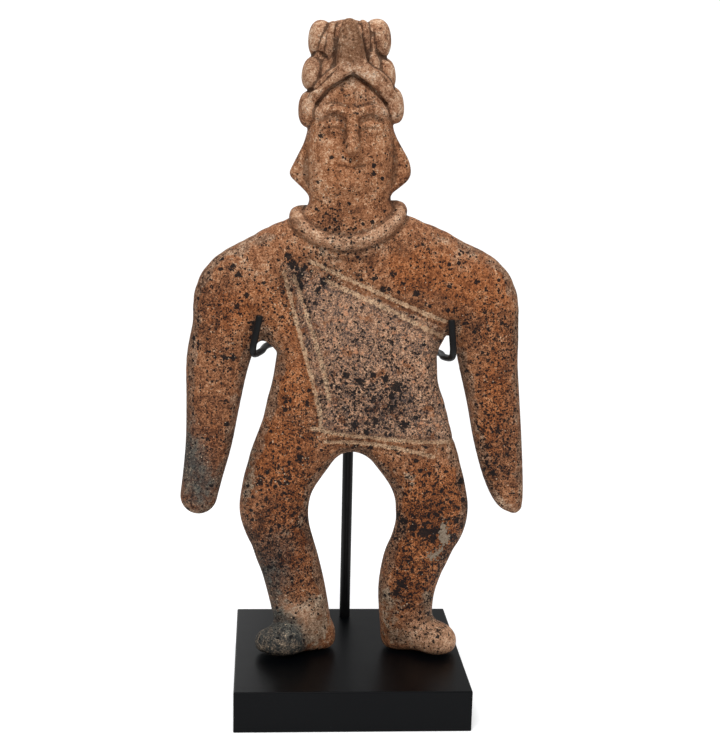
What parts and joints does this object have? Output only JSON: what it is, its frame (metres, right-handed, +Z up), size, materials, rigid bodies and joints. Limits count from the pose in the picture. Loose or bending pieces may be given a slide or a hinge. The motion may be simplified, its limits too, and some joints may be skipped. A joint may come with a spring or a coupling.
{
  "type": "pottery figure on stand",
  "caption": "Flat hand-built pottery figure of a standing person with a tall headdress and a sash, held upright by a thin rod with wire hooks on a square black base.",
  "frame": {"origin": "middle of the underside of the square base", "axes": "+Z up, +X to the right of someone facing the figure, +Y from the figure's front to its back"},
  "size_m": [0.1543, 0.103, 0.2991],
  "materials": {
    "fired_clay": "burnished orange-brown earthenware, unglazed",
    "black_lacquer": "satin black lacquer",
    "black_steel": "satin black paint"
  },
  "bodies": {
    "root": {"figure": "fired_clay", "stand_base": "black_lacquer", "stand_rod": "black_steel", "hook_left": "black_steel", "hook_right": "black_steel"}
  },
  "joints": []
}
